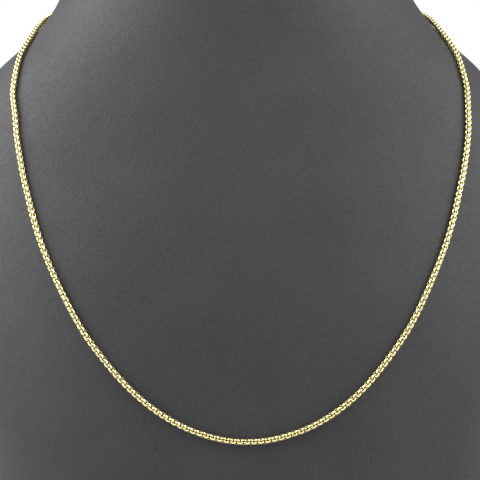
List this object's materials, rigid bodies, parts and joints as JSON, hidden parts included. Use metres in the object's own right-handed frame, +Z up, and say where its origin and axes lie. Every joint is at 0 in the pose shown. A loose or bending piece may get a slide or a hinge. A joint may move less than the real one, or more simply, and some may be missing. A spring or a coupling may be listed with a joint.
{
  "type": "box chain necklace on a neck bust",
  "caption": "Fine yellow gold box chain necklace with a lobster clasp, lying on a dark grey leatherette neck bust that stands on its flat base.",
  "frame": {"origin": "middle of the base's outline, on the surface that the bust stands on", "axes": "+Z up through the neck, -Y out of the chest, +X to the viewer's right"},
  "size_m": [0.2126, 0.1403, 0.3],
  "materials": {
    "leatherette": "dark grey leatherette, matte, with a very fine pebbled grain",
    "gold": "polished pale yellow gold"
  },
  "bodies": {
    "root": {"neck_bust": "leatherette", "chain": "gold", "clasp": "gold", "clasp_ring": "gold", "end_ring": "gold"}
  },
  "joints": []
}
